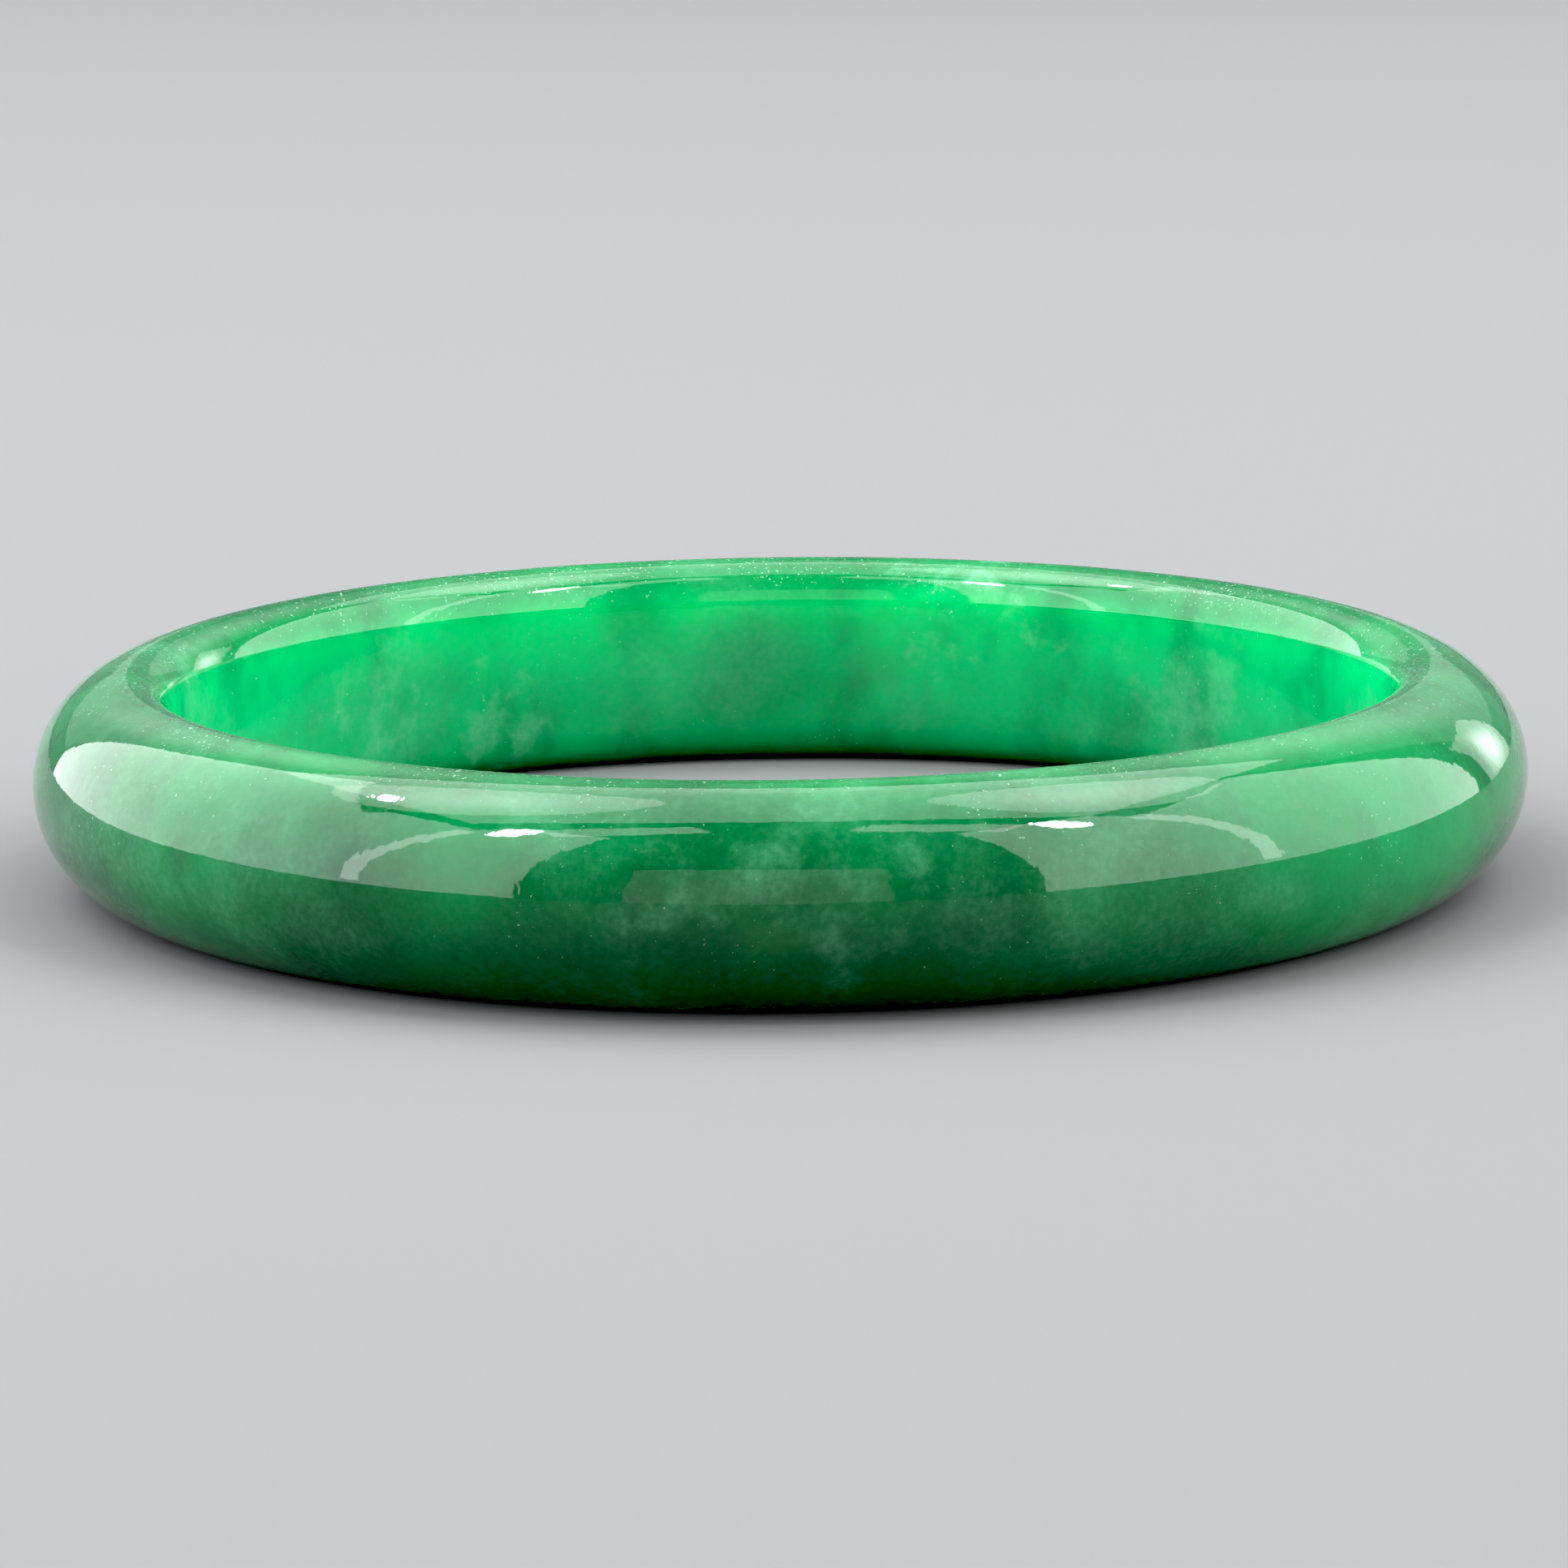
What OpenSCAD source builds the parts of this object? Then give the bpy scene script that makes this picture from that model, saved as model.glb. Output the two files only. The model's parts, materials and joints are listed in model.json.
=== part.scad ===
// Bangle bracelet carved from one piece of stone.
// A closed ring: a straight polished bore towards the wrist and a full round crown outside.
// The ring lies flat, its axis along +Z and its origin at the centre of its base plane.

/* [Wrist opening] */
// Inside diameter, where the hand passes through
inner_d = 56; // [50:0.5:64]

/* [Band] */
// Thickness of the band, from the bore to the crown
band_t = 6.35; // [6:0.05:6.6]
// Width of the band along the wrist
band_w = 10; // [9.6:0.1:10.6]
// Radius of the rounded edges between the bore and the crown
edge_r = 2; // [1.8:0.05:2.1]

/* [Stone] */
// Colour of the stone
stone_color = "seagreen"; // [seagreen, mediumseagreen, darkgreen]

/* [Hidden] */

// Smoothness of every round part
$fn = 180;

bore_r = inner_d / 2;
half_w = band_w / 2;

// Centres of the two edge rounds: edge_x from the axis, edge_y above and below mid-width
edge_x = bore_r + edge_r;
edge_y = half_w - edge_r;

// The crown is one arc, tangent to both edge rounds and to the outside diameter
crown_reach = band_t - edge_r;
crown_r = (crown_reach ^ 2 + edge_y ^ 2 - edge_r ^ 2) / (2 * (band_t - 2 * edge_r));
crown_x = bore_r + band_t - crown_r;

// Direction from the crown's centre through an edge round's centre, where the two arcs meet
blend_angle = atan2(edge_y, edge_x - crown_x);
// Far enough along that direction to lie outside the band
wedge_len = 2 * band_t;

// One edge round; side is 1 for the upper edge and -1 for the lower
module edge_round(side) {
    translate([edge_x, side * edge_y])
        circle(r = edge_r);
}

// The part of the crown's circle that lies outwards of the two blend lines
module crown_sector() {
    wedge_x = wedge_len * cos(blend_angle);
    wedge_y = wedge_len * sin(blend_angle);
    translate([crown_x, 0])
        intersection() {
            circle(r = crown_r);
            polygon([
                [0, 0],
                [wedge_x, -wedge_y],
                [wedge_len, -wedge_y],
                [wedge_len, wedge_y],
                [wedge_x, wedge_y]
            ]);
        }
}

// The heart of the section, from the bore wall out to the crown's centre
module section_core() {
    polygon([
        [bore_r, -edge_y],
        [edge_x, -edge_y],
        [crown_x, 0],
        [edge_x, edge_y],
        [bore_r, edge_y]
    ]);
}

// Cross-section of the band, to the right of the ring's axis
module band_section() {
    section_core();
    crown_sector();
    for (side = [-1, 1])
        edge_round(side);
}

// The whole bangle: the section carried once round the axis
module bangle_ring() {
    color(stone_color)
        translate([0, 0, half_w])
            rotate_extrude()
                band_section();
}

bangle_ring();
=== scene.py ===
import json
import math

import bpy
from mathutils import Matrix, Vector


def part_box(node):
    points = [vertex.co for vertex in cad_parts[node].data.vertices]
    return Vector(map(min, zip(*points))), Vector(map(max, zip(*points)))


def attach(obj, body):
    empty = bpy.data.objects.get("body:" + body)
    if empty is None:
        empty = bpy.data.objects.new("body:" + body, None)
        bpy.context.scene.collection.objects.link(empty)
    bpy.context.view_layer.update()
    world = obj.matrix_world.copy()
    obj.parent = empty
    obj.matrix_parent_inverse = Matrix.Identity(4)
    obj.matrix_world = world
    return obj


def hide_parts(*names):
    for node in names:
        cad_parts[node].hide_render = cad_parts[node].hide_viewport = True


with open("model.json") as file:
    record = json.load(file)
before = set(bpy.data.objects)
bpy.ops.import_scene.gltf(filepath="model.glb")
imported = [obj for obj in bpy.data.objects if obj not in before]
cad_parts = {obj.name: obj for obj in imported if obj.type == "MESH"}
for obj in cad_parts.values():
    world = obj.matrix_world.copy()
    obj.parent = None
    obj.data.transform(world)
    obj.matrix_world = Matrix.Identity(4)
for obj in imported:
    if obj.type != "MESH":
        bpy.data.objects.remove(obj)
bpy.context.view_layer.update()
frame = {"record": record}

# ---------------------------------------------------------------------------------------------
# The stone ring.
# One closed ring of translucent green jade, cored from a single slab and ground by hand to a
# straight bore, rounded edges and a full round crown, then buffed until it shines like glass.
# ---------------------------------------------------------------------------------------------
MM = 0.001
ring_low, ring_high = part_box("bangle_ring")
wrist_bore = frame["record"]["mounts"][0]["dims"]

bore_radius = wrist_bore["r_mm"] * MM
band_width = ring_high.z - ring_low.z
band_thickness = min(-ring_low.x, ring_high.x, -ring_low.y, ring_high.y) - bore_radius
edge_radius = (band_width - wrist_bore["length_mm"] * MM) / 2
hand_grinding = 0.030 * MM
wheel_flats = 0.007 * MM
grinding_seed = 7
steps_around = 768
steps_across = 112


def place(tree, kind, inputs=None, **settings):
    """Adds a node to a tree; each input is given a value, or the output that feeds it."""
    node = tree.nodes.new(kind)
    for name, value in settings.items():
        setattr(node, name, value)
    for name, value in (inputs or {}).items():
        if isinstance(value, bpy.types.NodeSocket):
            tree.links.new(value, node.inputs[name])
        else:
            node.inputs[name].default_value = value
    return node


def maths(tree, operation, *values, clamp=False):
    """One arithmetic step between numbers and outputs."""
    node = place(tree, "ShaderNodeMath", dict(enumerate(values)), operation=operation)
    node.use_clamp = clamp
    return node.outputs[0]


def lathe_tree():
    """Geometry Nodes that carry the band's section once round the axis.

    A flat grid is wrapped: its X becomes the turn round the ring and its Y the walk round the
    section. The walk is the direction of the surface's normal, from straight inwards, over the
    lower edge, the crown and the upper edge, and then down the bore wall.
    """
    tree = bpy.data.node_groups.new("carve_ring", "GeometryNodeTree")
    for name, kind in (
        ("Bore Radius", "NodeSocketFloat"),
        ("Band Thickness", "NodeSocketFloat"),
        ("Band Width", "NodeSocketFloat"),
        ("Edge Radius", "NodeSocketFloat"),
        ("Hand Grinding", "NodeSocketFloat"),
        ("Wheel Flats", "NodeSocketFloat"),
        ("Grinding Seed", "NodeSocketFloat"),
        ("Steps Around", "NodeSocketInt"),
        ("Steps Across", "NodeSocketInt"),
        ("Stone", "NodeSocketMaterial"),
    ):
        tree.interface.new_socket(name, in_out="INPUT", socket_type=kind)
    tree.interface.new_socket("Ring", in_out="OUTPUT", socket_type="NodeSocketGeometry")
    sizes = tree.nodes.new("NodeGroupInput").outputs
    half_width = maths(tree, "MULTIPLY", sizes["Band Width"], 0.5)
    edge = sizes["Edge Radius"]
    wall_half = maths(tree, "SUBTRACT", half_width, edge)

    # The crown is one arc that runs smoothly into both edge rounds
    reach = maths(tree, "SUBTRACT", sizes["Band Thickness"], edge)
    reach_squared = maths(tree, "MULTIPLY", reach, reach)
    wall_squared = maths(tree, "MULTIPLY", wall_half, wall_half)
    edge_squared = maths(tree, "MULTIPLY", edge, edge)
    squares = maths(tree, "SUBTRACT", maths(tree, "ADD", reach_squared, wall_squared), edge_squared)
    twice_rest = maths(tree, "MULTIPLY", maths(tree, "SUBTRACT", reach, edge), 2.0)
    crown = maths(tree, "DIVIDE", squares, twice_rest)
    outer = maths(tree, "ADD", sizes["Bore Radius"], sizes["Band Thickness"])
    crown_out = maths(tree, "SUBTRACT", outer, crown)
    edge_out = maths(tree, "ADD", sizes["Bore Radius"], edge)
    blend = maths(tree, "ARCTAN2", wall_half, maths(tree, "SUBTRACT", edge_out, crown_out))

    # The grid's two coordinates, as a turn and as a walk round the section
    grid = place(
        tree,
        "GeometryNodeMeshGrid",
        {
            "Size X": 1.0,
            "Size Y": 1.0,
            "Vertices X": maths(tree, "ADD", sizes["Steps Around"], 1.0),
            "Vertices Y": maths(tree, "ADD", sizes["Steps Across"], 1.0),
        },
    ).outputs["Mesh"]
    flat = place(
        tree,
        "ShaderNodeSeparateXYZ",
        {0: tree.nodes.new("GeometryNodeInputPosition").outputs[0]},
    ).outputs
    wall_share = 0.9
    turn = maths(tree, "MULTIPLY", flat["X"], 2 * math.pi)
    walk = maths(tree, "MULTIPLY", flat["Y"], 2 * (math.pi + wall_share))
    way = maths(tree, "ABSOLUTE", walk)
    side = maths(tree, "SIGN", walk)
    normal = maths(tree, "MULTIPLY", side, maths(tree, "MINIMUM", way, math.pi))
    down_wall = maths(tree, "DIVIDE", maths(tree, "SUBTRACT", way, math.pi), wall_share, clamp=True)
    edge_height = maths(
        tree,
        "MULTIPLY",
        maths(tree, "MULTIPLY", side, wall_half),
        maths(tree, "SUBTRACT", 1.0, down_wall),
    )
    on_crown = maths(tree, "LESS_THAN", way, blend)

    def either(crown_value, edge_value):
        """The crown's value while the walk is on the crown, and the edge's value elsewhere."""
        mixed = place(
            tree, "ShaderNodeMix", {"Factor": on_crown, 2: edge_value, 3: crown_value}
        )
        return mixed.outputs[0]

    arc = either(crown, edge)
    centre_out = either(crown_out, edge_out)
    centre_up = either(0.0, edge_height)

    round_x = maths(tree, "SINE", turn)
    round_y = maths(tree, "MULTIPLY", maths(tree, "COSINE", turn), -1.0)
    normal_out = maths(tree, "COSINE", normal)
    normal_up = maths(tree, "SINE", normal)

    def taken_off(patches_round, patches_across, depth):
        """Stone that the wheel takes off unevenly: never less than none, never more than depth."""
        spot = place(
            tree,
            "ShaderNodeCombineXYZ",
            {
                0: maths(tree, "MULTIPLY", round_x, patches_round),
                1: maths(tree, "MULTIPLY", round_y, patches_round),
                2: maths(tree, "MULTIPLY", walk, patches_across),
            },
        ).outputs[0]
        unevenness = place(
            tree,
            "ShaderNodeTexNoise",
            {"Vector": spot, "W": sizes["Grinding Seed"], "Scale": 1.0, "Detail": 1.0},
            noise_dimensions="4D",
        ).outputs[0]
        return maths(tree, "MULTIPLY", unevenness, depth)

    # Grinding by hand leaves broad low places, and long narrow flats where the wheel ran round
    arc = maths(tree, "SUBTRACT", arc, taken_off(5.0, 0.0, sizes["Hand Grinding"]))
    arc = maths(tree, "SUBTRACT", arc, taken_off(1.8, 2.4, sizes["Wheel Flats"]))

    out = maths(tree, "ADD", centre_out, maths(tree, "MULTIPLY", arc, normal_out))
    up = maths(tree, "ADD", centre_up, maths(tree, "MULTIPLY", arc, normal_up))
    place_at = place(
        tree,
        "ShaderNodeCombineXYZ",
        {
            0: maths(tree, "MULTIPLY", out, round_x),
            1: maths(tree, "MULTIPLY", out, round_y),
            2: maths(tree, "ADD", up, half_width),
        },
    ).outputs[0]
    wrapped = place(tree, "GeometryNodeSetPosition", {"Geometry": grid, "Position": place_at})
    closed = place(
        tree, "GeometryNodeMergeByDistance", {"Geometry": wrapped.outputs[0], "Distance": 1e-6}
    )
    smooth = place(tree, "GeometryNodeSetShadeSmooth", {"Geometry": closed.outputs[0]})
    real = place(tree, "GeometryNodeRealizeInstances", {"Geometry": smooth.outputs[0]})
    dressed = place(
        tree,
        "GeometryNodeSetMaterial",
        {"Geometry": real.outputs[0], "Material": sizes["Stone"]},
    )
    finished = tree.nodes.new("NodeGroupOutput")
    tree.links.new(dressed.outputs[0], finished.inputs[0])
    return tree


def noise(tree, stone, size_mm, detail, roughness=0.5, distortion=0.0, shift=0.0, upright=1.0):
    """Fractal noise with features about size_mm across, and stretched upright times as tall."""
    placed = place(
        tree,
        "ShaderNodeMapping",
        {
            "Vector": stone,
            "Location": (shift, shift * 0.7, shift * 1.3),
            "Scale": (1.0, 1.0, 1.0 / upright),
        },
    ).outputs[0]
    made = place(
        tree,
        "ShaderNodeTexNoise",
        {
            "Vector": placed,
            "Scale": 1 / size_mm,
            "Detail": detail,
            "Roughness": roughness,
            "Distortion": distortion,
        },
    )
    return made.outputs[0]


def between(tree, value, low, high, to_low=0.0, to_high=1.0):
    """Eases value from to_low to to_high as it goes from low to high."""
    made = place(
        tree,
        "ShaderNodeMapRange",
        {0: value, 1: low, 2: high, 3: to_low, 4: to_high},
        interpolation_type="SMOOTHSTEP",
    )
    return made.outputs[0]


def near(tree, here, spot, reach, strength):
    """Rises from nothing, at reach from a spot, to strength at the spot itself."""
    away = place(
        tree, "ShaderNodeVectorMath", {0: here, 1: spot}, operation="DISTANCE"
    ).outputs["Value"]
    return between(tree, away, reach, 0.0, 0.0, strength)


def over(tree, below, above, amount):
    """Lays one colour over another."""
    made = place(
        tree, "ShaderNodeMix", {"Factor": amount, "A": below, "B": above}, data_type="RGBA"
    )
    return made.outputs["Result"]


def product(tree, *values):
    """All the values multiplied together."""
    result = values[0]
    for value in values[1:]:
        result = maths(tree, "MULTIPLY", result, value)
    return result


def total(tree, *values):
    """All the values added together."""
    result = values[0]
    for value in values[1:]:
        result = maths(tree, "ADD", result, value)
    return result


def ground_and_painted_light(tree, stone, along, radius):
    """Deep green underneath and livelier above, which is painted shade: darker towards the bottom,
    where the ring is shaded. Vivid on the bore wall, which is painted light standing in for light
    that glows through the stone. A little lighter towards the far side. The noise and the listed
    spots are the stone's own tone.
    """
    deep_green = (0.0010, 0.078, 0.021, 1)
    mid_green = (0.0020, 0.230, 0.066, 1)
    vivid_green = (0.0040, 0.510, 0.175, 1)
    # Painted light: the bore wall is made vivid, less so just below the upper edge, to stand in for
    # light glowing through the stone
    painted_bore_glow = between(tree, radius, 28.1, 29.2, 0.85, 0.0)
    below_the_edge = between(tree, along["Z"], 7.4, 9.7, 1.0, 0.30)
    tone_and_painted_light = total(
        tree,
        between(tree, along["Y"], -34, 26, 0.0, 0.12),
        # Painted shade: the colour is darker towards the bottom of the ring
        between(tree, along["Z"], 0.5, 10, -0.24, -0.03),
        product(tree, painted_bore_glow, below_the_edge),
        product(tree, noise(tree, stone, 13, detail=4), 0.9),
    )
    for spot, reach, greener in (
        ((26.0, -22.0, 3.0), 14.0, 0.55),
        ((-26.0, -22.0, 3.0), 12.0, 0.25),
        ((-12.0, -32.0, 6.0), 9.0, 0.25),
        ((7.0, 27.5, 6.0), 5.0, 0.40),
    ):
        tone_and_painted_light = total(tree, tone_and_painted_light, near(tree, stone, spot, reach, greener))
    colour = over(tree, deep_green, mid_green, between(tree, tone_and_painted_light, 0.20, 0.75))
    return over(tree, colour, vivid_green, between(tree, tone_and_painted_light, 0.75, 1.45))


def shaded(tree, stone, colour):
    """Dark mottles that stand upright in the slab, smaller ones in them, and a few dark marks."""
    shadow_green = (0.0006, 0.040, 0.012, 1)
    mottles = noise(tree, stone, 4.2, detail=4, distortion=0.2, shift=29, upright=1.7)
    mottle = between(tree, mottles, 0.46, 0.72)
    colour = over(tree, colour, shadow_green, product(tree, mottle, 0.32))
    ripple = between(tree, noise(tree, stone, 1.8, detail=3, shift=93), 0.42, 0.72)
    colour = over(tree, colour, shadow_green, product(tree, ripple, 0.12))
    for spot, reach, darkness in (
        ((-26.0, -22.0, 5.4), 1.6, 0.55),
        ((19.6, -28.2, 7.6), 0.35, 0.80),
        ((-1.5, 28.0, 5.0), 4.5, 0.30),
        ((8.0, -33.4, 6.0), 6.5, 0.40),
    ):
        colour = over(tree, colour, shadow_green, near(tree, stone, spot, reach, darkness))
    return colour


def clouded(tree, stone, colour):
    """Thin whitish haze in drifts all round, a few thicker ragged clouds, and a fine grain."""
    cloud_green = (0.220, 0.580, 0.370, 1)
    fray_mm = 20.0
    ragged = place(
        tree,
        "ShaderNodeTexNoise",
        {"Vector": stone, "Scale": 1 / 3.6, "Detail": 5.0, "Roughness": 0.6},
    ).outputs["Color"]
    either_way = place(
        tree, "ShaderNodeVectorMath", {0: ragged, 1: (0.5,) * 3}, operation="SUBTRACT"
    ).outputs[0]
    fray = place(
        tree, "ShaderNodeVectorMath", {0: either_way, "Scale": fray_mm}, operation="SCALE"
    ).outputs[0]
    frayed_stone = place(tree, "ShaderNodeVectorMath", {0: stone, 1: fray}).outputs[0]

    drifts = noise(tree, stone, 9, detail=4, roughness=0.55, distortion=0.2, shift=13)
    haze = product(tree, between(tree, drifts, 0.50, 0.72), 0.12)
    for spot, reach, thickness in (
        ((1.5, -34.0, 7.0), 5.8, 0.18),
        ((-4.5, -34.0, 5.6), 4.6, 0.14),
        ((17.0, -29.5, 3.6), 8.0, 0.07),
        ((-20.0, -27.0, 6.0), 5.0, 0.06),
        ((-13.4, 25.0, 2.0), 3.2, 0.28),
        ((9.2, 28.0, 8.5), 3.6, 0.50),
        ((-19.0, 20.5, 4.0), 4.0, 0.30),
        ((20.0, 20.0, 4.0), 5.0, 0.25),
        ((-27.5, 5.0, 6.0), 7.0, 0.22),
        ((27.5, 6.0, 6.0), 5.0, 0.12),
    ):
        cloud = near(tree, frayed_stone, spot, reach, thickness)
        haze = maths(tree, "MAXIMUM", haze, cloud)
    grains = noise(tree, stone, 0.35, detail=3, roughness=0.6, shift=5)
    grain = between(tree, grains, 0.32, 0.72)
    grainy = total(tree, product(tree, grain, 0.5), 0.75)
    colour = over(tree, colour, cloud_green, product(tree, haze, grainy))
    return over(tree, colour, cloud_green, product(tree, grain, 0.035))


def stained(tree, stone, colour):
    """Olive stains where iron has seeped into the stone."""
    olive_stain = (0.060, 0.190, 0.060, 1)
    stains = noise(tree, stone, 8, detail=4, roughness=0.55, distortion=0.2, shift=87)
    stain = between(tree, stains, 0.58, 0.74)
    return over(tree, colour, olive_stain, product(tree, stain, 0.30))


def flecks(tree, stone, height, radius):
    """Tiny crystals and polish caught in the pores, thickest on the upper edge."""
    on_edge = product(
        tree,
        between(tree, height, 7.5, 9.6, 0.0, 0.090),
        between(tree, radius, 30.0, 32.5, 1.0, 0.3),
    )
    crowding = product(tree, noise(tree, stone, 6, detail=3, roughness=0.6, shift=53), 0.34)
    pores = total(tree, noise(tree, stone, 0.17, detail=2, shift=71), on_edge, crowding)
    return between(tree, pores, 0.90, 1.00)


def polish(tree, stone, fleck, surface):
    """Nearly clear gloss, a little duller in smears and where a fleck breaks the surface."""
    smears = noise(tree, stone, 6, detail=5, roughness=0.7, shift=61)
    smear = between(tree, smears, 0.45, 0.75, 0.022, 0.065)
    dull = total(tree, smear, product(tree, fleck, 0.20))
    tree.links.new(dull, surface.inputs["Roughness"])
    orange_peel = noise(tree, stone, 0.8, detail=2, shift=17)
    height = total(tree, orange_peel, product(tree, fleck, -0.4))
    bump = place(
        tree, "ShaderNodeBump", {"Height": height, "Strength": 0.30, "Distance": 0.02 * MM}
    )
    tree.links.new(bump.outputs[0], surface.inputs["Normal"])


def jade():
    """Polished jade, translucent: light goes in at one face and comes out green at another."""
    fleck_white = (0.620, 0.780, 0.690, 1)
    material = bpy.data.materials.new("polished_jade")
    material.use_nodes = True
    tree = material.node_tree
    surface = tree.nodes["Principled BSDF"]
    coordinates = tree.nodes.new("ShaderNodeTexCoord").outputs["Object"]
    stone = place(
        tree, "ShaderNodeMapping", {"Vector": coordinates, "Scale": (1 / MM,) * 3}
    ).outputs[0]
    along = place(tree, "ShaderNodeSeparateXYZ", {0: stone}).outputs
    flat = place(tree, "ShaderNodeVectorMath", {0: stone, 1: (1, 1, 0)}, operation="MULTIPLY")
    radius = place(
        tree, "ShaderNodeVectorMath", {0: flat.outputs[0]}, operation="LENGTH"
    ).outputs["Value"]

    colour = ground_and_painted_light(tree, stone, along, radius)
    colour = shaded(tree, stone, colour)
    colour = clouded(tree, stone, colour)
    colour = stained(tree, stone, colour)
    fleck = flecks(tree, stone, along["Z"], radius)
    colour = over(tree, colour, fleck_white, product(tree, fleck, 0.42))
    tree.links.new(colour, surface.inputs["Base Color"])
    polish(tree, stone, fleck, surface)

    surface.subsurface_method = "RANDOM_WALK"
    surface.inputs["IOR"].default_value = 1.5
    surface.inputs["Subsurface Weight"].default_value = 1.0
    surface.inputs["Subsurface Radius"].default_value = (0.25, 1.0, 0.70)
    surface.inputs["Subsurface Scale"].default_value = 9.0 * MM
    return material


carved = bpy.data.objects.new("carving", bpy.data.meshes.new("carving"))
bpy.context.scene.collection.objects.link(carved)
lathe = carved.modifiers.new("carve", "NODES")
lathe.node_group = lathe_tree()
jade_stone = jade()
ring_sizes = {
    "Bore Radius": bore_radius,
    "Band Thickness": band_thickness,
    "Band Width": band_width,
    "Edge Radius": edge_radius,
    "Hand Grinding": hand_grinding,
    "Wheel Flats": wheel_flats,
    "Grinding Seed": grinding_seed,
    "Steps Around": steps_around,
    "Steps Across": steps_across,
    "Stone": jade_stone,
}
for socket in lathe.node_group.interface.items_tree:
    if socket.in_out == "INPUT":
        lathe[socket.identifier] = ring_sizes[socket.name]
finished_mesh = bpy.data.meshes.new_from_object(
    carved.evaluated_get(bpy.context.evaluated_depsgraph_get())
)
stone_ring = bpy.data.objects.new("stone_ring", finished_mesh)
bpy.context.scene.collection.objects.link(stone_ring)
bpy.data.objects.remove(carved)

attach(stone_ring, "root")
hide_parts("bangle_ring")

# ---------------------------------------------------------------------------------------------
# The table.
# A plain pale sheet of matt card, wide enough to fill every view.
# ---------------------------------------------------------------------------------------------
table_half = 3.0
table_mesh = bpy.data.meshes.new("table")
table_mesh.from_pydata(
    [
        (-table_half, -table_half, 0),
        (table_half, -table_half, 0),
        (table_half, table_half, 0),
        (-table_half, table_half, 0),
    ],
    [],
    [(0, 1, 2, 3)],
)
table = bpy.data.objects.new("table", table_mesh)
bpy.context.scene.collection.objects.link(table)
table.location.z = ring_low.z

sheet = bpy.data.materials.new("pale_sheet")
sheet.use_nodes = True
sheet_surface = sheet.node_tree.nodes["Principled BSDF"]
sheet_surface.inputs["Base Color"].default_value = (0.23, 0.23, 0.235, 1)
sheet_surface.inputs["Roughness"].default_value = 0.90
sheet_surface.inputs["Specular IOR Level"].default_value = 0.0
table_mesh.materials.append(sheet)

# ---------------------------------------------------------------------------------------------
# The studio light.
# A light tent of white cloth stands over the ring: walls at both sides, a roof, and two dimmer
# cloths behind. Its front is an arch, left open for the camera, and the room beyond is dim.
# ---------------------------------------------------------------------------------------------
ring_middle = Vector((0, 0, ring_low.z + band_width / 2))
tent_radius = 0.72


def soft_panel(
    name, middle, aim, width, height, glow, tint=(1, 1, 1), shape="RECTANGLE", hot=0.0, lean=0.0
):
    """A lit piece of cloth that faces aim, and is turned by lean degrees in its own plane.

    glow is how bright its edge looks, and its middle looks 1 + hot times as bright.
    """
    light = bpy.data.lights.new(name, "AREA")
    light.shape = shape
    light.size = width
    light.size_y = height
    filled = math.pi / 4 if shape == "ELLIPSE" else 1
    light.energy = glow * math.pi * width * height * filled
    light.color = tint
    if hot:
        light.use_nodes = True
        tree = light.node_tree
        on_panel = tree.nodes.new("ShaderNodeNewGeometry").outputs["Parametric"]
        off_middle = place(
            tree, "ShaderNodeVectorMath", {0: on_panel, 1: (0.5, 0.5, 0)}, operation="DISTANCE"
        ).outputs["Value"]
        strength = place(
            tree,
            "ShaderNodeMapRange",
            {0: off_middle, 1: 0.5, 2: 0.0, 3: 1.0, 4: 1.0 + hot},
            interpolation_type="SMOOTHSTEP",
        )
        tree.links.new(strength.outputs[0], tree.nodes["Emission"].inputs["Strength"])
    panel = bpy.data.objects.new(name, light)
    bpy.context.scene.collection.objects.link(panel)
    facing = (aim - middle).to_track_quat("-Z", "Y").to_matrix().to_4x4()
    leaning = Matrix.Rotation(math.radians(lean), 4, "Z")
    panel.matrix_world = Matrix.Translation(middle) @ facing @ leaning


def tent_wall(name, from_degrees, to_degrees, top_degrees, glow, tint=(1, 1, 1)):
    """A wall standing on the table between two directions, counted from the front to the right."""
    half_span = math.radians(to_degrees - from_degrees) / 2
    facing = math.radians(from_degrees + to_degrees) / 2
    height = tent_radius * math.tan(math.radians(top_degrees))
    middle = Vector(
        (
            tent_radius * math.sin(facing),
            -tent_radius * math.cos(facing),
            ring_low.z + height / 2,
        )
    )
    aim = Vector((0, 0, middle.z))
    width = 2 * tent_radius * math.tan(half_span)
    soft_panel(name, middle, aim, width, height, glow, tint)


def hang(name, degrees_round, degrees_up, degrees_wide, degrees_tall, **finish):
    """A lamp or a strip of cloth on the tent's frame, in a direction from the ring."""
    turn = math.radians(degrees_round)
    rise = math.radians(degrees_up)
    outwards = Vector(
        (math.sin(turn) * math.cos(rise), -math.cos(turn) * math.cos(rise), math.sin(rise))
    )
    width = 2 * tent_radius * math.tan(math.radians(degrees_wide) / 2)
    height = 2 * tent_radius * math.tan(math.radians(degrees_tall) / 2)
    middle = ring_middle + outwards * tent_radius
    soft_panel(name, middle, ring_middle, width, height, **finish)


tent_wall("left_wall_back", -147, -95, 54, 3.3)
tent_wall("left_wall_middle", -95, -66, 55, 3.2, tint=(0.93, 0.98, 1.0))
tent_wall("left_wall_front", -66, -39, 60, 3.0)
tent_wall("right_wall_front", 39, 77, 60, 3.0)
tent_wall("right_wall_back", 77, 130, 54, 3.0)
tent_wall("camera_card", -23, 16, 32, 0.8)

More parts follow.
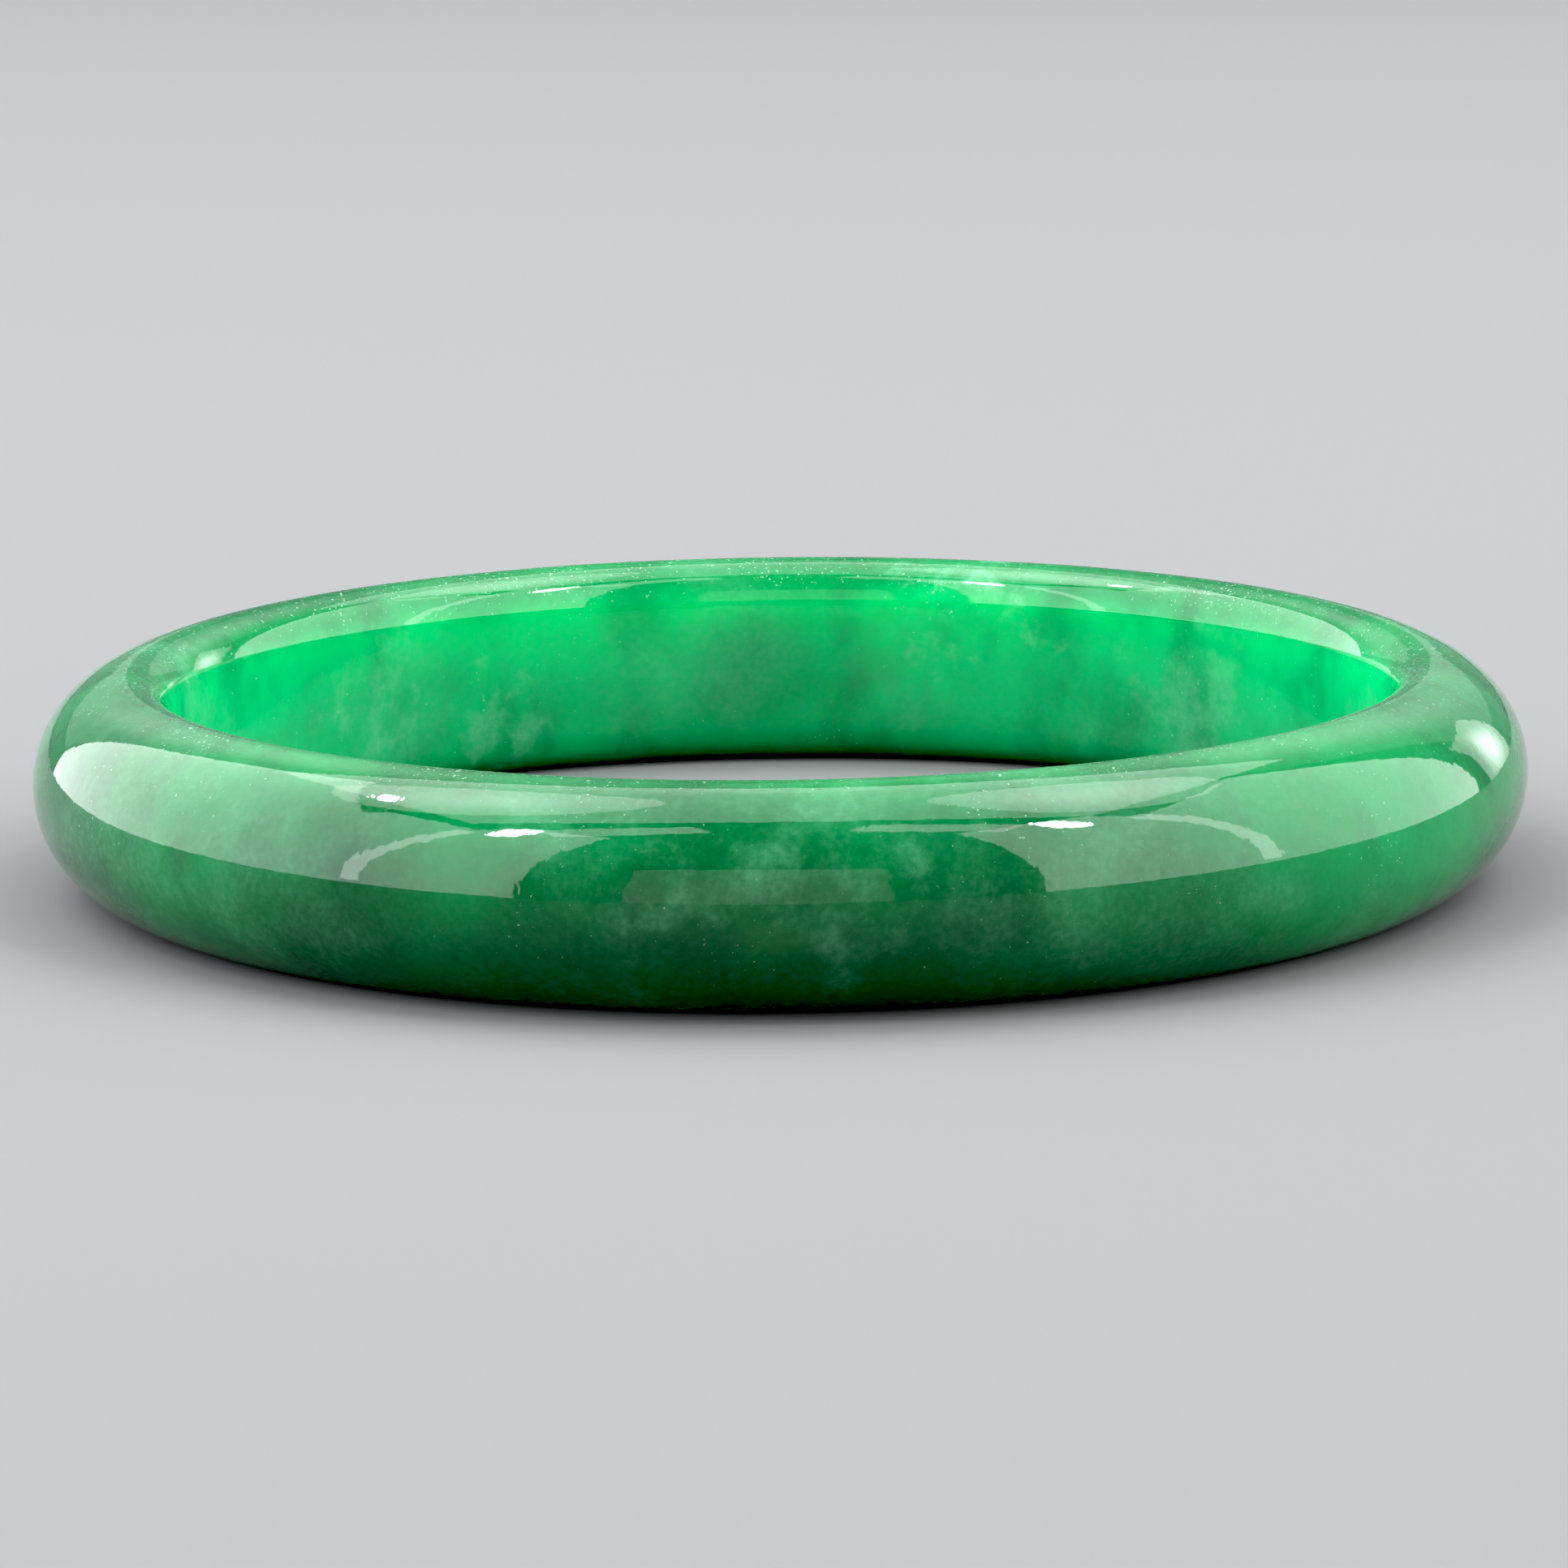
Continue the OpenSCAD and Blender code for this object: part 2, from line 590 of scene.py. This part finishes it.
# Cloth on the frame: the seams between the walls, the corners of the arch, and what hangs behind
hang("left_seam", -66, 27, 3.2, 50, glow=3.8)
hang("right_seam", 77, 27, 3.6, 50, glow=3.7)
hang("left_corner", -42, 64.5, 18, 7, glow=3.0, lean=50)
hang("right_corner", 42, 64.5, 18, 7, glow=3.0, lean=-50)
hang("left_back_cloth", -161, 34, 28, 54, glow=0.3, hot=2.8)
hang("right_back_cloth", 158, 34, 36, 52, glow=0.3, hot=2.8)
hang("window_strip", 142, 8, 14, 22, glow=1.2, hot=2.8)

# Lamps: three small bare ones, and two that glow through the roof
for name, degrees_round, degrees_up, degrees_wide, degrees_tall in (
    ("left_lamp", -58, 55, 5, 10),
    ("right_lamp", 62, 55, 5, 10),
    ("far_left_lamp", -118, 57, 7, 2.2),
):
    hang(
        name, degrees_round, degrees_up, degrees_wide, degrees_tall, glow=22.0, shape="ELLIPSE"
    )
roof_glow = 2.3
hang("roof_left_lamp", -124, 64, 32, 26, glow=roof_glow, hot=1.0, shape="ELLIPSE")
hang("roof_right_lamp", 118, 64, 34, 24, glow=roof_glow, hot=1.0, shape="ELLIPSE")

roof_front = -0.165 * tent_radius
roof_back = 0.85 * tent_radius
roof_width = 1.22 * tent_radius
roof_middle = Vector((0, (roof_front + roof_back) / 2, tent_radius))
under_roof = roof_middle - Vector((0, 0, 1))
soft_panel("roof", roof_middle, under_roof, roof_width, roof_back - roof_front, roof_glow)

room = bpy.data.worlds.new("dim_room")
room.use_nodes = True
room.node_tree.nodes["Background"].inputs["Color"].default_value = (0.30, 0.31, 0.32, 1)
bpy.context.scene.world = room

# A little contrast takes the pale veil off the deep greens
veil = 0.023
grading = bpy.context.scene.view_settings
grading.view_transform = "Standard"
grading.use_curve_mapping = True
grading.curve_mapping.black_level = (veil, veil, veil)

# ---------------------------------------------------------------------------------------------
# The camera.
# It stands low in front of the open side of the tent, with a long lens.
# ---------------------------------------------------------------------------------------------
camera_height_degrees = 10.5
camera_roll_degrees = -0.68
camera_distance = 11.3 * (bore_radius + band_thickness)
tilt = math.radians(camera_height_degrees)
aim_right = 0.16 * MM
aim_down = 0.78 * MM

lens = bpy.data.cameras.new("camera")
lens.lens = 193.4
lens.sensor_width = 36
lens.clip_start = 0.01
lens.clip_end = 10
camera = bpy.data.objects.new("camera", lens)
bpy.context.scene.collection.objects.link(camera)
back = Vector((0, -math.cos(tilt), math.sin(tilt)))
camera_up = Vector((0, math.sin(tilt), math.cos(tilt)))
stand = ring_middle + back * camera_distance
aim_point = ring_middle + Vector((aim_right, 0, 0)) - camera_up * aim_down
camera.matrix_world = (
    Matrix.Translation(stand)
    @ (aim_point - stand).to_track_quat("-Z", "Y").to_matrix().to_4x4()
    @ Matrix.Rotation(math.radians(camera_roll_degrees), 4, "Z")
)
bpy.context.scene.camera = camera
